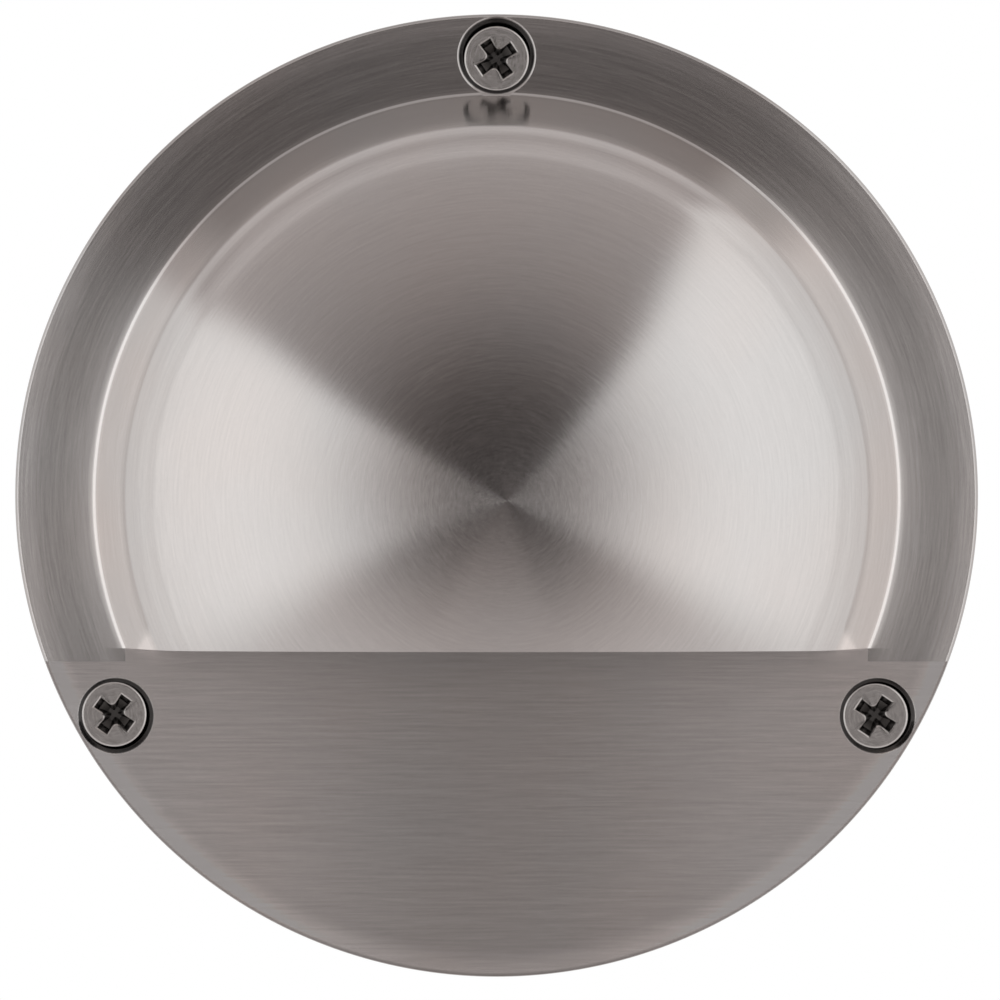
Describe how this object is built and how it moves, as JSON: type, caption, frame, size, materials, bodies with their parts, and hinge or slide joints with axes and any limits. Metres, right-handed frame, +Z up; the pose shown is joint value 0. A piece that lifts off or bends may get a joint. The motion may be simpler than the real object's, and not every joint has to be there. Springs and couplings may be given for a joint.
{
  "type": "step light",
  "caption": "Round recessed step light: brushed stainless face with an eyelid hood that throws light down, a finned lamp housing behind it for the wall cut-out, and a cable gland at the back.",
  "frame": {"origin": "centre of the circle of fixing screws, on the wall plane, which is the back face of the wall gasket", "axes": "+Y into the wall, so the light faces -Y; +Z up; +X to the right of someone who faces the light"},
  "size_m": [0.11, 0.0944, 0.11],
  "materials": {
    "face_steel": "fine brushed: circular on hood and ring, straight below the lip",
    "screw_steel": "bright, lightly polished",
    "foam": "closed-cell foam",
    "silicone": "satin moulded silicone",
    "clear_silicone": "milky moulded silicone",
    "cast_aluminium": "die-cast, fine blasted",
    "turned_aluminium": "machined",
    "frosted_glass": "toughened, frosted on the inside",
    "white_plastic": "moulded, satin white",
    "board_mask": "white solder mask on aluminium",
    "phosphor": "silicone dome over phosphor",
    "ivory_plastic": "moulded polyamide",
    "pad_grey": "filled silicone",
    "black_rubber": "satin moulded rubber",
    "red_insulation": "satin extruded insulation",
    "black_insulation": "satin extruded insulation",
    "case_plastic": "fine spark texture",
    "potting_resin": "poured, glossy, slightly wavy",
    "terminal_plastic": "moulded polyamide",
    "brass": "plated, slotted",
    "nylon_black": "fine moulded texture"
  },
  "bodies": {
    "root": {"eyelid_face": "face_steel", "wall_gasket": "foam", "face_screws": "screw_steel", "lamp_housing": "cast_aluminium", "housing_seal": "silicone", "housing_screws": "screw_steel", "glass_lens": "frosted_glass", "lens_gasket": "clear_silicone", "clamp_ring": "turned_aluminium", "clamp_screws": "screw_steel", "reflector": "white_plastic", "led_board": "board_mask", "led_chips": "phosphor", "board_connector": "ivory_plastic", "thermal_pad": "pad_grey", "board_screws": "screw_steel", "web_grommet": "black_rubber", "lead_red": "red_insulation", "lead_black": "black_insulation", "driver_case": "case_plastic", "driver_potting": "potting_resin", "driver_screws": "screw_steel", "terminal_block": "terminal_plastic", "terminal_screws": "brass", "rear_cover": "turned_aluminium", "cover_gasket": "silicone", "cover_screws": "screw_steel", "gland_body": "nylon_black", "gland_washer": "black_rubber", "gland_locknut": "nylon_black", "gland_seal": "black_rubber", "gland_cap": "nylon_black"}
  },
  "joints": []
}
